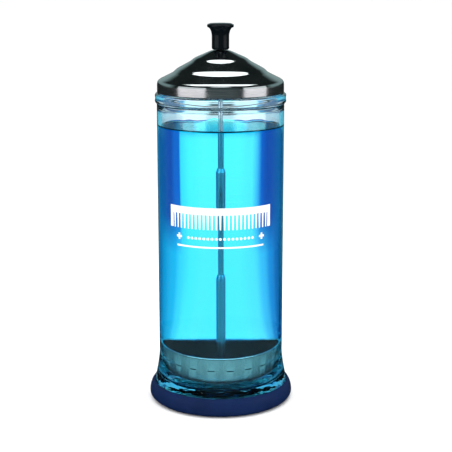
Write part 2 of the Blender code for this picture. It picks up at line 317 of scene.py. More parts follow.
def glass_material():
    made, tree, shader = material("clear_glass", (1, 1, 1), 0.0)
    shader.inputs["Transmission Weight"].default_value = 1.0
    shader.inputs["IOR"].default_value = 1.50
    shader.inputs["Specular Tint"].default_value = (0.7, 0.95, 1, 1)
    tree.links.new(remap(tree, noise(tree, 60), 0.0, 0.03), shader.inputs["Roughness"])
    height = coordinates(tree)[2]
    foot = remap(tree, height, FOOT_RIPPLE, 0.0, FOOT_RIPPLE_LOW, FOOT_RIPPLE_HIGH)
    fine = math_node(tree, "MULTIPLY", noise(tree, FOOT_RIPPLE_SCALE, 2.0, (1, 1, 1.6)), foot)
    broad = noise(tree, RIPPLE_SCALE, 1.0, (1, 1, 0.12))
    bump(tree, shader, math_node(tree, "ADD", broad, fine), 0.25, 0.6 * MM)
    absorb(tree, (0.45, 0.80, 0.92), 22.0)
    return made


def liquid_material():
    """Blue by depth, with painted cyan on its top face so that the pale room in it doesn't wash it out."""
    made, tree, shader = material("blue_disinfectant", (1, 1, 1), 0.0)
    shader.inputs["Transmission Weight"].default_value = 1.0
    shader.inputs["IOR"].default_value = 1.34
    shader.inputs["Specular Tint"].default_value = (0.2, 0.6, 1, 1)
    height = coordinates(tree)[2]
    # Painted cyan on the top face and meniscus, standing in for how the lit surface looks.
    surface = remap(tree, height, 0.0, 1.0, LIQUID_TOP - 0.3 * MM, LIQUID_TOP - 0.1 * MM)
    tint = blend_colours(tree, surface, (1, 1, 1), (0.10, 0.95, 1.0))
    tree.links.new(tint, shader.inputs["Base Color"])
    absorb(tree, (0.02, 0.86, 0.985), 33.0)
    return made


def rubber_material():
    made, tree, shader = material("navy_rubber", (0.002, 0.012, 0.060), 0.5)
    shader.inputs["Specular IOR Level"].default_value = 0.11
    wear = remap(tree, noise(tree, 45, 4.0), 0.0, 1.0)
    tint = blend_colours(tree, wear, (0.001, 0.010, 0.052), (0.002, 0.015, 0.074))
    tree.links.new(tint, shader.inputs["Base Color"])
    tree.links.new(remap(tree, noise(tree, 90), 0.42, 0.58), shader.inputs["Roughness"])
    bump(tree, shader, noise(tree, 2500, 2.0), 0.12, 0.1 * MM)
    return made


def polished_material():
    made, tree, shader = material("dark_polished_steel", (0.42, 0.46, 0.47), 0.08, 1.0)
    tree.links.new(remap(tree, noise(tree, 70), 0.05, 0.11), shader.inputs["Roughness"])
    bump(tree, shader, noise(tree, 40, 1.0), 0.05, 0.1 * MM)
    return made


def brushed_material():
    made, tree, shader = material("brushed_steel_skirt", (0.60, 0.60, 0.62), 0.3, 1.0)
    lines = noise(tree, 1800, 2.0, (0.05, 0.05, 1))
    tree.links.new(remap(tree, lines, 0.13, 0.21), shader.inputs["Roughness"])
    tint = blend_colours(tree, remap(tree, lines, 0, 1), (0.52, 0.52, 0.55), (0.68, 0.67, 0.69))
    tree.links.new(tint, shader.inputs["Base Color"])
    bump(tree, shader, lines, 0.12, 0.05 * MM)
    return made


def plastic_material():
    made, tree, shader = material("black_plastic", (0.002, 0.004, 0.006), 0.2)
    shader.inputs["Specular IOR Level"].default_value = 0.18
    tree.links.new(remap(tree, noise(tree, 160), 0.14, 0.24), shader.inputs["Roughness"])
    bump(tree, shader, noise(tree, 1200, 2.0), 0.04, 0.05 * MM)
    return made


def steel_material(name, colour, stretch):
    made, tree, shader = material(name, colour, 0.25, 1.0)
    lines = noise(tree, 420, 2.0, stretch)
    tree.links.new(remap(tree, lines, 0.20, 0.27), shader.inputs["Roughness"])
    darker = tuple(c * 0.9 for c in colour)
    tint = blend_colours(tree, remap(tree, lines, 0, 1), darker, colour)
    tree.links.new(tint, shader.inputs["Base Color"])
    bump(tree, shader, lines, 0.04, 0.05 * MM)
    return made


def print_material():
    made, tree, shader = material("white_enamel", (0.86, 0.87, 0.86), 0.4)
    wear = remap(tree, noise(tree, 300), 0, 1)
    tint = blend_colours(tree, wear, (0.78, 0.80, 0.80), (0.90, 0.91, 0.90))
    tree.links.new(tint, shader.inputs["Base Color"])
    bump(tree, shader, noise(tree, 3000), 0.1, 0.03 * MM)
    return made


def arc(centre, radii, start, end, count):
    """Points along an elliptical arc of the (radius, height) plane, both ends included."""
    points = []
    for i in range(count + 1):
        angle = math.radians(start + (end - start) * i / count)
        points.append((centre[0] + radii[0] * math.cos(angle), centre[1] + radii[1] * math.sin(angle)))
    return points


def spaced(low, high, count):
    """Values from low to high in equal steps, both included."""
    return [low + (high - low) * i / count for i in range(count + 1)]


def offset(outline, distance):
    """The outline moved to its right-hand side by a distance, with mitred corners."""
    moved = []
    for i, (r, z) in enumerate(outline):
        before = outline[max(i - 1, 0)]
        after = outline[min(i + 1, len(outline) - 1)]
        normals = []
        for a, b in ((before, (r, z)), ((r, z), after)):
            length = math.dist(a, b)
            if length > 0:
                normals.append(((b[1] - a[1]) / length, -(b[0] - a[0]) / length))
        nr = sum(n[0] for n in normals) / len(normals)
        nz = sum(n[1] for n in normals) / len(normals)
        scale = distance / (nr * nr + nz * nz)
        moved.append((r + nr * scale, z + nz * scale))
    return moved


def round_corners(outline, radius, count=4):
    """Turns each inner corner into a short curve that starts and ends this far from it."""
    rounded = [outline[0]]
    for before, corner, after in zip(outline, outline[1:], outline[2:]):
        ends = []
        for other in (before, after):
            share = min(radius / math.dist(corner, other), 0.48)
            ends.append([c + (o - c) * share for c, o in zip(corner, other)])
        for i in range(count + 1):
            t = i / count
            a, b, c = (1 - t) ** 2, 2 * t * (1 - t), t**2
            rounded.append(tuple(a * p + b * q + c * r for p, q, r in zip(ends[0], corner, ends[1])))
    return rounded + [outline[-1]]


def finish_mesh(name, bm, finishes, sharp=35.0):
    bmesh.ops.recalc_face_normals(bm, faces=bm.faces)
    mesh = bpy.data.meshes.new(name)
    bm.to_mesh(mesh)
    bm.free()
    mesh.shade_smooth()
    mesh.set_sharp_from_angle(angle=math.radians(sharp))
    for finish in finishes:
        mesh.materials.append(finish)
    made = bpy.data.objects.new(name, mesh)
    bpy.context.scene.collection.objects.link(made)
    return made


def turned_mesh(outline, steps):
    """A solid of revolution about Z. The outline is closed, or has both of its ends on the axis."""
    bm = bmesh.new()
    verts = [bm.verts.new((r, 0, z)) for r, z in outline]
    edges = [bm.edges.new(pair) for pair in zip(verts, verts[1:])]
    if outline[0][0] > 0 or outline[-1][0] > 0:
        edges.append(bm.edges.new((verts[-1], verts[0])))
    bmesh.ops.spin(
        bm,
        geom=verts + edges,
        cent=AXIS,
        axis=(0, 0, 1),
        angle=math.tau,
        steps=steps,
        use_merge=True,
    )
    bmesh.ops.remove_doubles(bm, verts=bm.verts, dist=1e-7)
    return bm


def turned(name, outline, steps, finish, sharp=35.0):
    return finish_mesh(name, turned_mesh(outline, steps), [finish], sharp)


def settle(piece, body, slot, *nodes):
    """The piece rides on a body and stands for CAD nodes. The slot is not used."""
    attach(piece, body)
    if nodes:
        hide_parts(*nodes)
    return piece


def foot_radius(z):
    if z >= FOOT_TOP:
        return JAR_RADIUS
    return JAR_RADIUS + FOOT_FLARE * ((FOOT_TOP - z) / (FOOT_TOP - FOOT_LIP)) ** FOOT_POWER


def neck_bore(z):
    share = min(max((z - BLEND_LOW) / (BLEND_HIGH - BLEND_LOW), 0), 1)
    return JAR_INSIDE + (NECK_BORE - JAR_INSIDE) * (1 - math.cos(math.pi * share)) / 2


def inner_floor(count, grow=0.0):
    """The inside of the jar's bottom, from the wall to the axis."""
    corner = (JAR_INSIDE - FLOOR_CORNER, JAR_FLOOR + FLOOR_CORNER)
    radius = FLOOR_CORNER + grow
    return arc(corner, (radius, radius), 0, -90, count) + [(0, JAR_FLOOR - grow)]


def glass_outline():
    foot = foot_radius(FOOT_LOW)
    bead = JAR_RADIUS + BEAD_PROUD
    rim = (NECK_RADIUS - NECK_BORE) / 2
    low = JAR_LOW.z
    outline = [(0, low + PUNT * 1.4), (PUNT_RADIUS * 0.6, low + PUNT * 1.2), (PUNT_RADIUS, low + PUNT)]
    outline += [(PUNT_RADIUS + 2 * MM, low + PUNT * 0.4), (PUNT_RADIUS + 3.5 * MM, low)]
    outline += arc((foot - FOOT_CORNER, low + FOOT_CORNER), (FOOT_CORNER, FOOT_CORNER), -90, 0, 10)
    outline += [(foot_radius(z), z) for z in spaced(FOOT_LOW, FOOT_TOP, 28)]
    outline += [(JAR_RADIUS, z) for z in spaced(FOOT_TOP, BEAD_LOW - 1.2 * MM, 20)[1:]]
    outline += [(JAR_RADIUS + 0.15 * MM, BEAD_LOW - 0.5 * MM)]
    outline += arc((bead - BEAD_ROUND, BEAD_LOW + BEAD_ROUND), (BEAD_ROUND, BEAD_ROUND), -60, 0, 8)
    outline += [(bead - BEAD_WAIST, (BEAD_LOW + BEAD_TOP) / 2)]
    outline += arc((bead - BEAD_ROUND, BEAD_TOP - BEAD_ROUND), (BEAD_ROUND, BEAD_ROUND), 0, 90, 10)
    outline += [(NECK_RADIUS + 0.3 * MM, BEAD_TOP), (NECK_RADIUS, BEAD_TOP + 0.3 * MM)]
    outline += [(NECK_RADIUS, JAR_HIGH.z - rim)]
    outline += arc((NECK_BORE + rim, JAR_HIGH.z - rim), (rim, rim), 0, 180, 14)[1:]
    outline += [(neck_bore(z), z) for z in reversed(spaced(BLEND_LOW, BLEND_HIGH, 16))]
    outline += [(JAR_INSIDE, z) for z in reversed(spaced(JAR_FLOOR + FLOOR_CORNER, BLEND_LOW, 20)[1:-1])]
    outline += inner_floor(16)
    return outline


def glass_jar():
    """Pressed glass: its inside is slightly uneven round the axis, which shows as upright streaks."""
    bm = turned_mesh(glass_outline(), LARGE)
    for vert in bm.verts:
        radius = math.hypot(vert.co.x, vert.co.y)
        angle = math.atan2(vert.co.y, vert.co.x)
        inside = radius < JAR_INSIDE + 0.1 * MM and JAR_FLOOR + FLOOR_CORNER < vert.co.z < BLEND_LOW
        if inside:
            wave = math.sin(9 * angle + 0.4) + 0.7 * math.sin(17 * angle + 2.0) + 0.5 * math.sin(31 * angle)
            scale = 1 + STREAK_DEPTH * wave / radius
            vert.co.x *= scale
            vert.co.y *= scale
    return finish_mesh("glass_body", bm, [glass_material()], 60)


def liquid_outline():
    """The filling, which wets the wall and climbs a little way up it."""
    wall = JAR_INSIDE + INTO_GLASS
    outline = [(0, LIQUID_TOP)]
    for radius in spaced(MENISCUS_START, wall, 12):
        climb = MENISCUS * math.exp(-(wall - radius) / MENISCUS_REACH)
        outline.append((radius, LIQUID_TOP + climb))
    outline += [(wall, z) for z in reversed(spaced(JAR_FLOOR + FLOOR_CORNER, LIQUID_TOP, 16)[:-1])]
    outline += inner_floor(16, INTO_GLASS)[1:]
    return outline


def base_outline():
    centre = (BASE_RADIUS - BULGE, WIDEST)
    outline = [(0, RECESS), (RECESS_RADIUS, RECESS), (RECESS_RADIUS + 0.8 * MM, 0)]
    outline += arc(centre, (BULGE, WIDEST), -90, 0, 14)
    outline += arc(centre, (BULGE, UPPER_BULGE), 0, LIP_ANGLE, 14)[1:]
    inner = [(foot_radius(z) + 0.1 * MM, z) for z in reversed(spaced(FOOT_LOW, FOOT_LIP - 0.5 * MM, 6))]
    outline += [(inner[0][0] + 0.75 * MM, FOOT_LIP - 0.08 * MM), (inner[0][0] + 0.35 * MM, FOOT_LIP)]
    outline += [(inner[0][0] + 0.08 * MM, FOOT_LIP - 0.15 * MM)] + inner
    foot = foot_radius(FOOT_LOW)
    corner = FOOT_CORNER + GAP
    outline += arc((foot - FOOT_CORNER, JAR_LOW.z + FOOT_CORNER), (corner, corner), 0, -90, 8)
    outline += [(0, BASE_FLOOR)]
    return outline


def lid_shell():
    """A spun sheet: a mirror-bright top in three tiers, and a brushed skirt with its edge turned in."""
    top = [(SKIRT_RADIUS, SKIRT_FOOT), (SKIRT_RADIUS, SKIRT_FOOT + 0.5 * MM)]
    top += [*SHOULDER, *FIRST_TIER, *SECOND_TIER, *THIRD_TIER, (BORE_RADIUS, APEX)]
    outer = round_corners(top, TIER_ROUND, 5)
    inner = offset(outer, -SHEET)
    inner[0] = (SKIRT_RADIUS - SHEET, SKIRT_FOOT)
    edge = arc((SKIRT_RADIUS - SHEET / 2, SKIRT_FOOT), (SHEET / 2, SKIRT_FOOT - LID_LOW.z), -150, -30, 4)
    bm = turned_mesh(outer + inner[::-1] + edge, LARGE)
    for face in bm.faces:
        face.material_index = int(face.calc_center_median().z < SKIRT_TOP)
    return finish_mesh("lid_cover", bm, [polished_material(), brushed_material()], 50)


def knob_outline():
    """Down the outside of a spool with one flange, then up into the socket for its insert."""
    low, high = KNOB_LOW.z, KNOB_HIGH.z
    waist, flange, edge = KNOB_WAIST, KNOB_HIGH.x, KNOB_EDGE
    straight, under, over = low + KNOB_STRAIGHT, low + FLANGE_LOW, low + FLANGE_TOP
    width = flange - waist - 0.4 * MM
    outline = [(0, high), (flange * 0.5, high - 0.05 * MM), (flange * 0.8, high - 0.25 * MM)]
    outline += arc((flange - 0.9 * MM, over - 0.8 * MM), (0.9 * MM, 0.8 * MM), 75, 0, 6)
    outline += [(flange, under + 0.9 * MM), (flange - 0.12 * MM, under + 0.3 * MM)]
    outline += arc((waist + width, straight), (width, under - straight), 90, 180, 16)
    outline += [(waist, z) for z in reversed(spaced(low + edge, straight, 4)[:-1])]
    outline += arc((waist - edge, low + edge), (edge, edge), 0, -90, 6)[1:]
    outline += [(SOCKET_RADIUS + 0.3 * MM, low), (SOCKET_RADIUS, low + 0.3 * MM)]
    outline += [(SOCKET_RADIUS, low + SOCKET_TOP), (0, low + SOCKET_TOP + 1 * MM)]
    return outline


def threaded(radius, low, high):
    """A thread's outline from low to high, as ridges one pitch apart."""
    points = []
    count = int((high - low) / THREAD_PITCH)
    for i in range(count):
        z = low + THREAD_PITCH * i
        points += [(radius - THREAD_DEPTH, z), (radius, z + THREAD_PITCH / 2)]
    return points + [(radius - THREAD_DEPTH, low + THREAD_PITCH * count)]


def rod_outline(low, high, low_thread, high_thread):
    """A rod with a thread of the given length at each end."""
    plain_low = low + low_thread + THREAD_RELIEF
    plain_high = high - high_thread - THREAD_RELIEF
    chamfer = ROD_RADIUS - 0.5 * MM
    outline = [(0, low), (chamfer, low)]
    outline += threaded(ROD_RADIUS, low + 0.4 * MM, low + low_thread)
    outline += [(ROD_RADIUS, z) for z in spaced(plain_low, plain_high, 6)]
    outline += threaded(ROD_RADIUS, high - high_thread, high - 0.4 * MM)
    return outline + [(chamfer, high), (0, high)]


def coupling_outline():
    """A sleeve whose two ends taper to the rod that they grip."""
    low, high = COUPLING_LOW.z, COUPLING_HIGH.z
    tip = BORE_RADIUS + 0.15 * MM
    bore = ROD_RADIUS + 0.02 * MM
    shape = [(tip, low), (SLEEVE_RADIUS - 0.1 * MM, low + TAPER * 0.85), (SLEEVE_RADIUS, low + TAPER)]
    shape += [(SLEEVE_RADIUS, low + TAPER * 2), (SLEEVE_RADIUS, high - TAPER * 2)]
    shape += [(SLEEVE_RADIUS, high - TAPER), (SLEEVE_RADIUS - 0.1 * MM, high - TAPER * 0.85), (tip, high)]
    return [(bore, low)] + round_corners(shape, 1 * MM) + [(bore, high)]


def stem_outline():
    """Up the stub's thread, out over the flange that the basket hangs on, and up the sleeve to the rod."""
    low, high = STEM_LOW.z, STEM_HIGH.z
    under = BASKET_LOW.z + BASKET_SHEET + 0.05 * MM
    over = under + STEM_FLANGE_THICK
    outline = [(0, low), (STUB_RADIUS - 0.4 * MM, low)]
    outline += threaded(STUB_RADIUS, low + 0.3 * MM, under - 0.3 * MM)
    outline += [(STUB_RADIUS, under), (STEM_FLANGE - 0.2 * MM, under), (STEM_FLANGE, under + 0.2 * MM)]
    outline += [(STEM_FLANGE, over - 0.3 * MM), (STEM_FLANGE - 0.3 * MM, over)]
    fillet = (SLEEVE_RADIUS + STEM_FILLET, over + STEM_FILLET)
    outline += arc(fillet, (STEM_FILLET, STEM_FILLET), -90, -180, 5)
    outline += [(SLEEVE_RADIUS, z) for z in spaced(over + 3 * MM, high - TAPER, 6)]
    bore, seat = ROD_RADIUS + 0.02 * MM, LOWER_LOW.z
    outline += [(BORE_RADIUS + 0.15 * MM, high), (bore, high), (bore, seat)]
    return outline + [(0, seat - 0.2 * MM)]


def washer(name, low, high, outer, inner, finish):
    """A plain ring between two corners of its box, with its outer edges broken."""
    edge = 0.12 * MM
    outline = [(inner, low.z), (outer - edge, low.z), (outer, low.z + edge)]
    outline += [(outer, high.z - edge), (outer - edge, high.z), (inner, high.z)]
    return turned(name, outline, SMALL, finish)


def hex_nut(name, low, high, bore, finish):
    """A hexagon nut whose corners are chamfered, as turning cuts them."""
    half_flats = (high.x - low.x) / 2
    chamfer = 0.35 * MM
    turns = [math.tau * i / SMALL for i in range(SMALL)]
    from_flats = [(turn + math.pi / 6) % (math.pi / 3) - math.pi / 6 for turn in turns]
    hexagon = [half_flats / math.cos(angle) for angle in from_flats]
    chamfered = [min(radius, half_flats * 1.01) for radius in hexagon]
    hole = [bore] * SMALL
    levels = [(low.z, chamfered), (low.z + chamfer, hexagon), (high.z - chamfer, hexagon)]
    levels += [(high.z, chamfered), (high.z, hole), (low.z, hole)]
    bm = bmesh.new()
    rings = []
    for z, radii in levels:
        rings.append([bm.verts.new((r * math.cos(t), r * math.sin(t), z)) for r, t in zip(radii, turns)])
    for a, b in zip(rings, rings[1:] + rings[:1]):
        for i in range(SMALL):
            j = (i + 1) % SMALL
            bm.faces.new((a[i], a[j], b[j], b[i]))
    return finish_mesh(name, bm, [finish], 30)


def basket_outline():
    """Along the underside, up the wall, over the rolled rim, and back down the inside."""
    low, high = BASKET_LOW.z, BASKET_HIGH.z
    centre = (BASKET_RADIUS - BASKET_CORNER, low + BASKET_CORNER)
    inner = BASKET_CORNER - BASKET_SHEET
    across = spaced(6 * MM, BASKET_RADIUS - BASKET_CORNER - 1 * MM, 6)
    below_bead = high - 2.4 * BASKET_BEAD
    bead_centre = (BASKET_RADIUS - BASKET_BEAD + BEAD_OVERHANG, high - BASKET_BEAD)
    outline = [(BASKET_HOLE, low)] + [(r, low) for r in across]
    outline += arc(centre, (BASKET_CORNER, BASKET_CORNER), -90, 0, 8)
    outline += [(BASKET_RADIUS, below_bead)]
    outline += arc(bead_centre, (BASKET_BEAD, BASKET_BEAD), -30, 210, 12)
    outline += [(BASKET_RADIUS - BASKET_SHEET, below_bead)]
    outline += arc(centre, (inner, inner), 0, -90, 6)
    outline += [(r, low + BASKET_SHEET) for r in reversed(across)]
    return outline + [(BASKET_HOLE, low + BASKET_SHEET)]


def spread_round(place, count):
    """The place repeated round the axis, starting half a step along."""
    return [Matrix.Rotation(math.tau * (i + 0.5) / count, 4, "Z") @ place for i in range(count)]


def basket_cutter(finish):
    """The tools that pierce the drain holes in the floor and press the dents into the wall."""
    bm = bmesh.new()
    for ring, count in DRAIN_RINGS:
        for place in spread_round(Matrix.Translation((ring, 0, BASKET_LOW.z + BASKET_SHEET / 2)), count):
            bmesh.ops.create_cone(
                bm,
                cap_ends=True,
                segments=20,
                radius1=DRAIN_RADIUS,
                radius2=DRAIN_RADIUS,
                depth=DRAIN_TOOL,
                matrix=place,
            )
    reach = BASKET_RADIUS - DENT_DEPTH + DENT_TOOL / 2
    spot = Matrix.Translation((reach, 0, (BASKET_LOW.z + BASKET_HIGH.z) / 2))
    size = Matrix.Diagonal((DENT_TOOL, DENT_LENGTH, DENT_HEIGHT, 1))
    for place in spread_round(spot, DENT_COUNT):
        bmesh.ops.create_cube(bm, size=1, matrix=place @ size)
    return finish_mesh("basket_cutter", bm, [finish])


def cut(piece, cutter):
    """Takes the cutter's shape out of the piece, and gives the cut faces the cutter's finish."""
    modifier = piece.modifiers.new("cut", "BOOLEAN")
    modifier.object = cutter
    modifier.solver = "EXACT"
    modifier.material_mode = "TRANSFER"
    bpy.context.view_layer.update()
    graph = bpy.context.evaluated_depsgraph_get()
    cut_mesh = bpy.data.meshes.new_from_object(piece.evaluated_get(graph))
    piece.modifiers.clear()
    piece.data = cut_mesh
    bpy.data.objects.remove(cutter)
    cut_mesh.set_sharp_from_angle(angle=math.radians(40))


def basket_shell():
    """The basket's sheet cup: satin outside, and inside up to its rolled rim a darker copy of the steel as
    painted shade.
    """
    bm = turned_mesh(basket_outline(), LARGE)
    floor = BASKET_LOW.z + BASKET_SHEET * 0.6
    rim = BASKET_HIGH.z - 2 * BASKET_BEAD
    wall = BASKET_RADIUS - BASKET_SHEET * 0.8
    # Faces inside the cup, between its floor and its rim, take the painted shade.
    for face in bm.faces:
        place = face.calc_center_median()
        inside = floor < place.z < rim and math.hypot(place.x, place.y) < wall
        face.material_index = int(inside)
    satin = steel_material("basket_steel", (0.80, 0.97, 0.99), (1, 1, 0.2))
    painted_shade_steel = steel_material("basket_inside_painted_shade", (0.035, 0.06, 0.07), (1, 1, 0.2))
    made = finish_mesh("basket", bm, [satin, painted_shade_steel], 50)
    # The cut faces of the drain holes and dents take the same painted shade.
    cut(made, basket_cutter(painted_shade_steel))
    return made


def wrapped(bm, corners):
    """A thin raised patch on the glass from (arc length, height) corners, given in order."""
    rings = []
    for radius in (PRINT_IN, PRINT_OUT):
        ring = []
        for u, z in corners:
            angle = u / JAR_RADIUS
            ring.append(bm.verts.new((radius * math.sin(angle), -radius * math.cos(angle), z)))
        rings.append(ring)
    count = len(corners)
    bm.faces.new(rings[1])
    bm.faces.new(rings[0][::-1])
    for i in range(count):
        j = (i + 1) % count
        bm.faces.new((rings[0][i], rings[0][j], rings[1][j], rings[1][i]))


def bar(bm, u0, u1, z0, z1):
    """A rectangle on the glass, split along its length so that it follows the curve."""
    count = max(1, round(abs(u1 - u0) / PRINT_STEP))
    for a, b in zip(spaced(u0, u1, count), spaced(u0, u1, count)[1:]):
        wrapped(bm, [(a, z0), (b, z0), (b, z1), (a, z1)])


def disc(bm, u, z, radius, count=14):
    corners = []
    for i in range(count):
        angle = math.tau * i / count
        corners.append((u + radius * math.cos(angle), z + radius * math.sin(angle)))
    wrapped(bm, corners)


def plus(bm, u, z, size):
    arm = size / 6
    bar(bm, u - size / 2, u + size / 2, z - arm, z + arm)
    bar(bm, u - arm, u + arm, z + arm, z + size / 2)
    bar(bm, u - arm, u + arm, z - size / 2, z - arm)


def comb(bm):
    """A comb seen flat: its spine, a broad tooth at each end, and a row of tapered ones between them."""
    bar(bm, -COMB_HALF, COMB_HALF, COMB_ROOT, COMB_TOP)
    for side in (-1, 1):
        bar(bm, side * COMB_HALF, side * (COMB_HALF - COMB_END), COMB_BOTTOM, COMB_ROOT)
    count = round(2 * (COMB_HALF - COMB_END_ROOM) / TOOTH_PITCH)
    wide, narrow = TOOTH / 2, TOOTH_TIP / 2
    for i in range(count):
        u = (i + 0.5 - count / 2) * TOOTH_PITCH
        tip = [(u - narrow, COMB_BOTTOM), (u + narrow, COMB_BOTTOM)]
        wrapped(bm, [(u - wide, COMB_ROOT), *tip, (u + wide, COMB_ROOT)])


def printed_motif():
    bm = bmesh.new()
    comb(bm)
    for side in (-1, 1):
        plus(bm, side * PLUS_ASIDE, PLUS_HEIGHT, PLUS_SIZE)
    for i in range(DOT_COUNT):
        disc(bm, (i - (DOT_COUNT - 1) / 2) * DOT_PITCH, DOT_HEIGHT, DOT_RADIUS)
    bar(bm, -RULE_HALF, RULE_HALF, RULE_LOW, RULE_HIGH)
    return finish_mesh("printed_motif", bm, [print_material()])


def build_jar():
    settle(glass_jar(), "jar", "glass", "glass_jar")
    rubber = turned("rubber_ring", base_outline(), LARGE, rubber_material(), 45)
    settle(rubber, "jar", "rubber_base", "rubber_base")
    settle(turned("liquid", liquid_outline(), LARGE, liquid_material(), 60), "jar", "glass")
    settle(printed_motif(), "jar", "glass")


def build_head(steel):
    """The knob and its insert, and the washer and nut that hold the lid to the rod."""
    spool = turned("knob_spool", knob_outline(), MIDDLE, plastic_material(), 50)
    settle(spool, "lifter", "knob_plastic", "knob")
    brass = steel_material("insert_brass", (0.78, 0.58, 0.25), (1, 1, 1))
    insert = washer("brass_insert", INSERT_LOW, INSERT_HIGH, INSERT_HIGH.x, BORE_RADIUS, brass)
    settle(insert, "lifter", "insert_brass", "knob_insert")
    outer = LID_WASHER_HIGH.x
    under_lid = washer("washer_under_lid", LID_WASHER_LOW, LID_WASHER_HIGH, outer, BORE_RADIUS, steel)
    settle(under_lid, "lifter", "fittings", "lid_washer")
    nut = hex_nut("nut_under_lid", LID_NUT_LOW, LID_NUT_HIGH, BORE_RADIUS, steel)
    settle(nut, "lifter", "fittings", "lid_nut")


def build_rod(steel):
    upper = rod_outline(UPPER_LOW.z, UPPER_HIGH.z, COUPLING_THREAD, KNOB_THREAD)
    settle(turned("upper_rod", upper, SMALL, steel, 40), "lifter", "rod_steel", "rod_upper")
    settle(turned("coupling", coupling_outline(), SMALL, steel), "lifter", "rod_steel", "rod_coupling")
    lower = rod_outline(LOWER_LOW.z, LOWER_HIGH.z, COUPLING_THREAD, COUPLING_THREAD)
    settle(turned("lower_rod", lower, SMALL, steel, 40), "lifter", "rod_steel", "rod_lower")
    settle(turned("stem", stem_outline(), SMALL, steel), "lifter", "rod_steel", "basket_stem")


def build_basket(steel):
    """The basket, and the washer and nut that hold its floor up to the stem's flange."""
    settle(basket_shell(), "lifter", "basket_steel", "basket_cup")
    low, high = BASKET_WASHER_LOW, BASKET_WASHER_HIGH
    under_floor = washer("washer_under_basket", low, high, high.x, BASKET_HOLE, steel)
    settle(under_floor, "lifter", "fittings", "basket_washer")
    nut = hex_nut("nut_under_basket", BASKET_NUT_LOW, BASKET_NUT_HIGH, BASKET_HOLE, steel)
    settle(nut, "lifter", "fittings", "basket_nut")


def build_lifter():
    fitting_steel = steel_material("fitting_steel", (0.55, 0.57, 0.57), (1, 1, 1))
    build_head(fitting_steel)
    build_rod(steel_material("rod_steel", (0.60, 0.72, 0.78), (1, 1, 0.02)))
    build_basket(fitting_steel)


# Studio
CAMERA_DISTANCE = 0.90
CAMERA_HEIGHT = 0.333
CAMERA_PITCH = 12.3
CAMERA_LENS = 94.6
CAMERA_ASIDE = 4.142 * MM


def add_camera():
    data = bpy.data.cameras.new("camera")
    data.lens = CAMERA_LENS
    camera = bpy.data.objects.new("camera", data)
    bpy.context.scene.collection.objects.link(camera)
    camera.location = (CAMERA_ASIDE, -CAMERA_DISTANCE, CAMERA_HEIGHT)
    camera.rotation_euler = (math.radians(90 - CAMERA_PITCH), 0, 0)
    bpy.context.scene.camera = camera


def area_light(name, place, target, size, power, shape="RECTANGLE"):
    data = bpy.data.lights.new(name, "AREA")
    data.shape = shape
    data.size, data.size_y = size
    data.energy = power
    lamp = bpy.data.objects.new(name, data)
    bpy.context.scene.collection.objects.link(lamp)
    lamp.location = place
    lamp.rotation_mode = "QUATERNION"
    lamp.rotation_quaternion = (Vector(target) - Vector(place)).to_track_quat("-Z", "Y")
    lamp.visible_camera = False
    return lamp


def glow_material(name, strength):
    """An unlit glow, with its tree, its emission and the mix that thins it out, for the caller to link."""
    made = bpy.data.materials.new(name)
    made.use_nodes = True
    tree = made.node_tree
    tree.nodes.clear()
    glow = node(tree, "ShaderNodeEmission")
    glow.inputs["Strength"].default_value = strength
    clear = node(tree, "ShaderNodeBsdfTransparent")
    cover = node(tree, "ShaderNodeMixShader")
    cover.inputs["Fac"].default_value = 1.0
    output = node(tree, "ShaderNodeOutputMaterial")
    tree.links.new(clear.outputs[0], cover.inputs[1])
    tree.links.new(glow.outputs[0], cover.inputs[2])
    tree.links.new(cover.outputs[0], output.inputs["Surface"])
    return made, tree, glow, cover


def seen_through_glass_only(piece):
    """Hides a stage piece from all but the light paths that have just passed through the glass."""
    piece.visible_camera = False
    piece.visible_diffuse = False
    piece.visible_shadow = False
    piece.visible_glossy = False


# Sweep: its colours go by azimuth low down, and by distance from the middle in its two upper bands. The
# filling swaps the sides, so the stops by azimuth are named for the side of the jar that they show on.
SWEEP_REACH = 64.0
SWEEP_FADE = 12.0
SWEEP_NEAR = 0.10
SWEEP_FLAT = 0.40
SWEEP_CORNER = 0.05
SWEEP_RADIUS = 0.50
SWEEP_LIFT = 0.5 * MM
SWEEP_TOP = 0.36
SWEEP_STRENGTH = 1.8
FOOT_STRENGTH = 0.90 * SWEEP_STRENGTH
FOOT_BAND = (0.0, 0.09)
UPPER_BAND = (0.137, 0.147)
TOP_BAND = (0.235, 0.255)
MIRRORED_MIDDLE = 0.15
MIRRORED_ASIDE = (4.0, 16.0)
MIRRORED_TINT = (0.35, 0.90, 1.0)
STOPS_REACH = 60
RIGHT_STOPS = (
    (-48, (0.01, 0.06, 0.20)),
    (-37, (0.012, 0.12, 0.35)),
    (-27, (0.012, 0.26, 0.55)),
    (-19, (0.30, 0.55, 0.73)),
)
MIDDLE_STOPS = (
    (-12, (0.80, 0.88, 0.90)),
    (-5, (1, 1, 1)),
    (5, (1, 1, 1)),
    (11, (0.65, 0.95, 0.95)),
)
LEFT_STOPS = (
    (16, (0.32, 0.74, 0.82)),
    (22, (0.03, 0.50, 0.68)),
    (33, (0.02, 0.38, 0.60)),
    (50, (0.03, 0.20, 0.40)),
)
UPPER_ASIDE = 0.14
UPPER_STOPS = (
    (0, (0.32, 0.52, 0.58)),
    (0.014, (0.32, 0.52, 0.58)),
    (0.028, (0.50, 0.64, 0.66)),
    (0.062, (0.50, 0.64, 0.66)),
    (0.086, (0.29, 0.44, 0.51)),
    (0.14, (0.29, 0.44, 0.51)),
)
TOP_STOPS = (
    (0, (0.035, 0.062, 0.072)),
    (0.014, (0.035, 0.062, 0.072)),
    (0.030, (0.42, 0.76, 0.84)),
    (0.064, (0.42, 0.76, 0.84)),
    (0.080, (0.04, 0.20, 0.38)),
    (0.10, (0.055, 0.10, 0.18)),
)


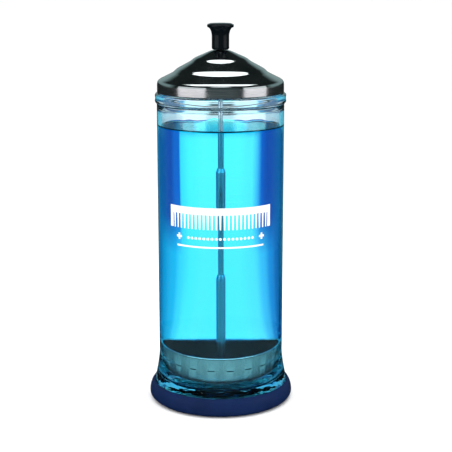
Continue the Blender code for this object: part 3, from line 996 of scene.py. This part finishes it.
def sweep_mesh():
    """A strip of floor that curves up into an upright wall round the back of the jar."""
    corner = SWEEP_CORNER
    profile = [(SWEEP_NEAR, SWEEP_LIFT), (SWEEP_FLAT, SWEEP_LIFT)]
    profile += arc((SWEEP_RADIUS - corner, corner), (corner, corner), -90, 0, 6)
    profile += [(SWEEP_RADIUS, 2 * corner), (SWEEP_RADIUS, SWEEP_TOP)]
    bm = bmesh.new()
    rows = []
    for degrees in spaced(-SWEEP_REACH, SWEEP_REACH, 64):
        angle = math.radians(degrees)
        rows.append([bm.verts.new((r * math.sin(angle), r * math.cos(angle), z)) for r, z in profile])
    for a, b in zip(rows, rows[1:]):
        for i in range(len(profile) - 1):
            bm.faces.new((a[i], a[i + 1], b[i + 1], b[i]))
    return bm


def sweep_colour(tree, x, z, azimuth, top):
    """Low down bright in the middle and blue at both sides, then a greyer band, and a dark middle on top."""
    low_stops = RIGHT_STOPS + MIDDLE_STOPS + LEFT_STOPS
    low_band = ramp(tree, azimuth, -STOPS_REACH, STOPS_REACH, low_stops)
    aside = math_node(tree, "ABSOLUTE", x)
    upper_band = ramp(tree, aside, 0, UPPER_ASIDE, UPPER_STOPS)
    top_band = ramp(tree, aside, 0, UPPER_ASIDE, TOP_STOPS)
    upper = remap(tree, z, 0.0, 1.0, *UPPER_BAND)
    return mix_links(tree, upper, low_band, mix_links(tree, top, upper_band, top_band))


def add_sweep():
    """A lit backdrop behind the jar. Light mirrored inside the jar sees it tinted, and dim in its middle."""
    made, tree, glow, cover = glow_material("sweep_light", SWEEP_STRENGTH)
    x, y, z = coordinates(tree)
    azimuth = math_node(tree, "DEGREES", math_node(tree, "ARCTAN2", x, y))
    off_middle = math_node(tree, "ABSOLUTE", azimuth)
    top = remap(tree, z, 0.0, 1.0, *TOP_BAND)
    reflected = once_reflected(tree)
    fade = remap(tree, off_middle, 1.0, 0.0, SWEEP_REACH - SWEEP_FADE, SWEEP_REACH)
    tree.links.new(fade, cover.inputs["Fac"])
    strength = remap(tree, z, FOOT_STRENGTH, SWEEP_STRENGTH, *FOOT_BAND)
    dim_middle = remap(tree, off_middle, MIRRORED_MIDDLE, 1.0, *MIRRORED_ASIDE)
    dimmed = node(tree, "ShaderNodeMix")
    dimmed.inputs["A"].default_value = 1.0
    tree.links.new(reflected, dimmed.inputs["Factor"])
    tree.links.new(math_node(tree, "MAXIMUM", dim_middle, top), dimmed.inputs["B"])
    tree.links.new(math_node(tree, "MULTIPLY", strength, dimmed.outputs["Result"]), glow.inputs["Strength"])
    colour = sweep_colour(tree, x, z, azimuth, top)
    tint = blend_colours(tree, reflected, (1, 1, 1), MIRRORED_TINT)
    tree.links.new(mix_links(tree, 1.0, colour, tint, "MULTIPLY"), glow.inputs["Color"])
    seen_through_glass_only(finish_mesh("sweep", sweep_mesh(), [made]))


# Blue cards, coloured by distance from the middle, whose inner and lower edges are soft
FLAG_DISTANCE = 0.121
FLAG_OUTSIDE = 0.090
FLAG_LOW = 0.080
FLAG_HIGH = 0.197
FLAG_FADE_LOW = 0.088
FLAG_FADE_HIGH = 0.120
FLAG_BRIGHT = (0.01, 0.2, 0.75)
FLAG_DEEP = (0.006, 0.085, 0.5)
FLAG_DIM = (0.04, 0.15, 0.45)


def add_flag(name, side, start, full, stops):
    """A card close behind one side of the jar, which the filling shows along the jar's opposite edge."""
    bm = bmesh.new()
    inner, outer = side * start, side * FLAG_OUTSIDE
    corners = ((inner, FLAG_LOW), (outer, FLAG_LOW), (outer, FLAG_HIGH), (inner, FLAG_HIGH))
    bm.faces.new([bm.verts.new((x, FLAG_DISTANCE, z)) for x, z in corners])
    made, tree, glow, cover = glow_material(name + "_light", 1.0)
    place = coordinates(tree)
    aside = math_node(tree, "ABSOLUTE", place[0])
    tree.links.new(ramp(tree, aside, 0, FLAG_OUTSIDE, stops), glow.inputs["Color"])
    inwards = remap(tree, aside, 0.0, 1.0, start, full)
    upwards = remap(tree, place[2], 0.0, 1.0, FLAG_FADE_LOW, FLAG_FADE_HIGH)
    tree.links.new(math_node(tree, "MULTIPLY", inwards, upwards), cover.inputs["Fac"])
    seen_through_glass_only(finish_mesh(name, bm, [made]))


def add_flags():
    right = (0.016, FLAG_BRIGHT), (0.025, FLAG_DEEP), (0.055, FLAG_DIM)
    left = (0.012, FLAG_BRIGHT), (0.021, FLAG_DEEP), (0.055, FLAG_DIM)
    add_flag("right_flag", 1, 0.0097, 0.0115, right)
    add_flag("left_flag", -1, 0.0068, 0.0135, left)


# Floor, and its colour for light that was mirrored inside the glass
FLOOR = (0.90, 0.90, 0.90)
FLOOR_IN_GLASS = (0.225, 0.315, 0.333)


def add_floor():
    """A pale floor, which is darker for light that was mirrored inside the glass."""
    bm = bmesh.new()
    bmesh.ops.create_grid(bm, x_segments=1, y_segments=1, size=20)
    bmesh.ops.translate(bm, verts=bm.verts, vec=(0, 0, -0.02 * MM))
    made, tree, shader = material("pale_floor", FLOOR, 0.9)
    shader.inputs["Specular IOR Level"].default_value = 0.1
    path = node(tree, "ShaderNodeLightPath")
    inner = math_node(tree, "MULTIPLY", once_reflected(tree), path.outputs["Is Transmission Ray"])
    tree.links.new(blend_colours(tree, inner, FLOOR, FLOOR_IN_GLASS), shader.inputs["Base Color"])
    floor = finish_mesh("floor", bm, [made])
    floor.visible_glossy = False


def background(tree, colour, strength):
    made = node(tree, "ShaderNodeBackground")
    made.inputs["Color"].default_value = (*colour, 1)
    made.inputs["Strength"].default_value = strength
    return made


# World: the strength of its plain light, then what is mirrored, and then what shows through the jar. Each
# pair is where something starts and ends, by the height or depth of a direction, or by its angle aside.
LIT = 1.16
ROOM_TINT = (0.72, 1.0, 1.0)
ROOM_DARK = 0.02
ROOM_GLOW = 0.40
GLOW_RISES = (0.0, 0.08)
GLOW_FALLS = (0.32, 0.50)
GLOW_BEYOND = (0.0, 0.3)
FRONT_GLOW = 0.10
FRONT_ENDS = (-0.95, -0.7)
BEHIND_LOW = (0.06, 0.20, 0.36)
BEHIND_HIGH = (0.60, 0.74, 0.80)
BEHIND_RISES = (0.08, 0.25)
BEHIND_MIDDLE = 0.15
BEHIND_ASIDE = (math.radians(6), math.radians(20))
AHEAD_TOP = 3.0
AHEAD_ENDS = (-0.1, 0.1)
AHEAD_RISES = (0.35, 0.6)


def mirrored_room(tree, y, z):
    """What shiny pieces mirror: a dark room, with a glow low down at its back and a faint one in front."""
    made = background(tree, ROOM_TINT, ROOM_DARK)
    risen = remap(tree, z, 0.0, 1.0, *GLOW_RISES)
    fallen = remap(tree, z, ROOM_GLOW, 0.0, *GLOW_FALLS)
    beyond = remap(tree, y, 0.0, 1.0, *GLOW_BEYOND)
    back = math_node(tree, "MULTIPLY", math_node(tree, "MULTIPLY", risen, fallen), beyond)
    front = remap(tree, y, FRONT_GLOW, ROOM_DARK, *FRONT_ENDS)
    tree.links.new(math_node(tree, "ADD", back, front), made.inputs["Strength"])
    return made


def room_through_glass(tree, x, y, z):
    """What shows through the jar beside the sweep: blue low down, and paler or brighter higher up."""
    made = background(tree, BEHIND_HIGH, 1.0)
    upward = remap(tree, z, 0.0, 1.0, *BEHIND_RISES)
    tree.links.new(blend_colours(tree, upward, BEHIND_LOW, BEHIND_HIGH), made.inputs["Color"])
    azimuth = math_node(tree, "ABSOLUTE", math_node(tree, "ARCTAN2", x, y))
    aside = remap(tree, azimuth, BEHIND_MIDDLE, 1.0, *BEHIND_ASIDE)
    ahead = remap(tree, y, 1.0, 0.0, *AHEAD_ENDS)
    raised = remap(tree, z, 0.0, AHEAD_TOP, *AHEAD_RISES)
    ahead_top = math_node(tree, "MULTIPLY", ahead, raised)
    strength = math_node(tree, "ADD", math_node(tree, "MAXIMUM", aside, upward), ahead_top)
    tree.links.new(strength, made.inputs["Strength"])
    return made


def choose(tree, factor, first, second):
    made = node(tree, "ShaderNodeMixShader")
    tree.links.new(factor, made.inputs["Fac"])
    tree.links.new(first.outputs[0], made.inputs[1])
    tree.links.new(second.outputs[0], made.inputs[2])
    return made


def add_world():
    """Even white light on what is matt, and other surroundings in what shines or lets light through."""
    world = bpy.data.worlds.new("studio")
    bpy.context.scene.world = world
    world.use_nodes = True
    tree = world.node_tree
    tree.nodes.clear()
    x, y, z = coordinates(tree, "Generated")
    path = node(tree, "ShaderNodeLightPath")
    lit = background(tree, (1, 1, 1), LIT)
    seen = choose(tree, path.outputs["Is Glossy Ray"], lit, mirrored_room(tree, y, z))
    seen = choose(tree, path.outputs["Is Transmission Ray"], seen, room_through_glass(tree, x, y, z))
    output = node(tree, "ShaderNodeOutputWorld")
    tree.links.new(seen.outputs[0], output.inputs["Surface"])


def around(azimuth, distance, height):
    """A place round the jar; azimuth 0 is straight in front of it, and positive to the right."""
    angle = math.radians(azimuth)
    return (distance * math.sin(angle), -distance * math.cos(angle), height)


def add_lights():
    shoulder = (0, 0, 0.26)
    area_light("overhead", (0, -0.015, 0.86), (0, -0.015, 0), (0.84, 0.46), 4.0)
    area_light("left_front", around(-53, 0.8, 0.32), shoulder, (0.82, 0.42), 1.28)
    area_light("right_front", around(65, 0.8, 0.32), shoulder, (0.70, 0.42), 1.15)
    area_light("front_spot", (0, -0.457, 0.687), (0, -0.047, 0.247), (0.36, 0.14), 0.37, "ELLIPSE")


def build_studio():
    add_camera()
    add_world()
    add_floor()
    add_lights()
    add_sweep()
    add_flags()
    bpy.context.scene.view_settings.view_transform = "Standard"


build_studio()
build_jar()
settle(lid_shell(), "lid", "lid_metal", "lid_shell")
build_lifter()
